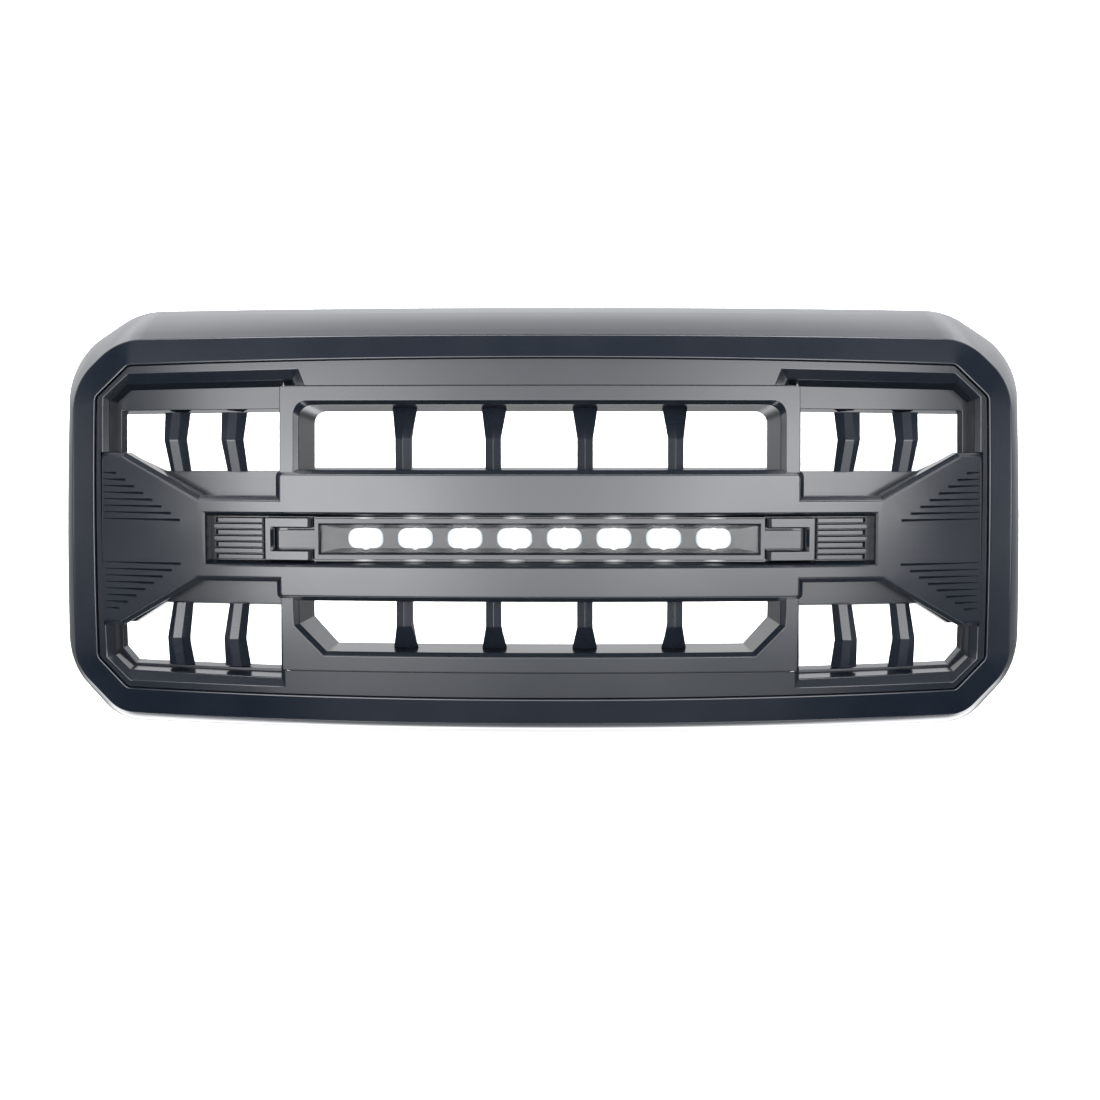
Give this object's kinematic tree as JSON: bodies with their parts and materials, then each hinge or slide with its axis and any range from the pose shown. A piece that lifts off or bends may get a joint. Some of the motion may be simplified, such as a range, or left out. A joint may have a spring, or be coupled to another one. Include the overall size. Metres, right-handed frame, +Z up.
{
  "type": "front grille",
  "caption": "Wide front grille in satin black plastic with a bow-tie centre bar, open air windows with upright fins and a straight LED light bar in the bar's channel.",
  "frame": {"origin": "middle of the bounding box of the whole grille", "axes": "+X to the viewer's right when standing in front, +Y to the rear of the grille, +Z up; the front face looks along -Y"},
  "size_m": [1.272, 0.1778, 0.5444],
  "materials": {
    "shell": "satin black moulded ABS with a fine grain",
    "panel": "satin charcoal-black moulded ABS with a fine grain",
    "bar": "satin black moulded ABS, slightly smoother than the panel",
    "fin": "satin black moulded ABS",
    "lamp_body": "satin black glass-filled plastic",
    "lens": "clear polished lens",
    "optic": "clear moulded optic, lit cool white",
    "reflector": "satin mid-grey moulded plastic",
    "board": "white solder mask",
    "aluminium": "black anodised extrusion",
    "rubber": "moulded rubber",
    "steel": "zinc-plated sheet steel and screws"
  },
  "bodies": {
    "root": {"surround_shell": "shell", "insert_panel": "panel", "centre_frame_upper": "panel", "centre_frame_lower": "panel", "bow_tie_bar": "bar", "channel_trim_left": "bar", "channel_trim_right": "bar", "louvre_left": "bar", "louvre_right": "bar", "duct_fin_upper_1_left": "fin", "duct_fin_upper_1_right": "fin", "duct_fin_upper_2_left": "fin", "duct_fin_upper_2_right": "fin", "duct_fin_lower_1_left": "fin", "duct_fin_lower_1_right": "fin", "duct_fin_lower_2_left": "fin", "duct_fin_lower_2_right": "fin", "side_fin_upper_1_left": "fin", "side_fin_upper_1_right": "fin", "side_fin_upper_2_left": "fin", "side_fin_upper_2_right": "fin", "side_fin_lower_1_left": "fin", "side_fin_lower_1_right": "fin", "side_fin_lower_2_left": "fin", "side_fin_lower_2_right": "fin", "lamp_bezel": "lamp_body", "lamp_end_cap_left": "lamp_body", "lamp_end_cap_right": "lamp_body", "lamp_lens": "lens", "led_optic_1": "optic", "led_optic_2": "optic", "led_optic_3": "optic", "led_optic_4": "optic", "led_optic_5": "optic", "led_optic_6": "optic", "led_optic_7": "optic", "led_optic_8": "optic", "lamp_reflector": "reflector", "led_board": "board", "lamp_housing": "aluminium", "lens_gasket": "rubber", "cable_gland": "rubber", "breather_plug": "rubber", "lamp_bracket_left": "steel", "lamp_bracket_right": "steel", "lamp_cap_screw_left": "steel", "lamp_cap_screw_right": "steel", "lamp_boss_screw_left": "steel", "lamp_boss_screw_right": "steel", "shell_screw_upper_left": "steel", "shell_screw_upper_centre": "steel", "shell_screw_upper_right": "steel", "shell_screw_lower_left": "steel", "shell_screw_lower_centre": "steel", "shell_screw_lower_right": "steel", "mount_bracket_upper_left": "steel", "mount_bracket_upper_right": "steel", "mount_bracket_lower_left": "steel", "mount_bracket_lower_right": "steel"}
  },
  "joints": []
}
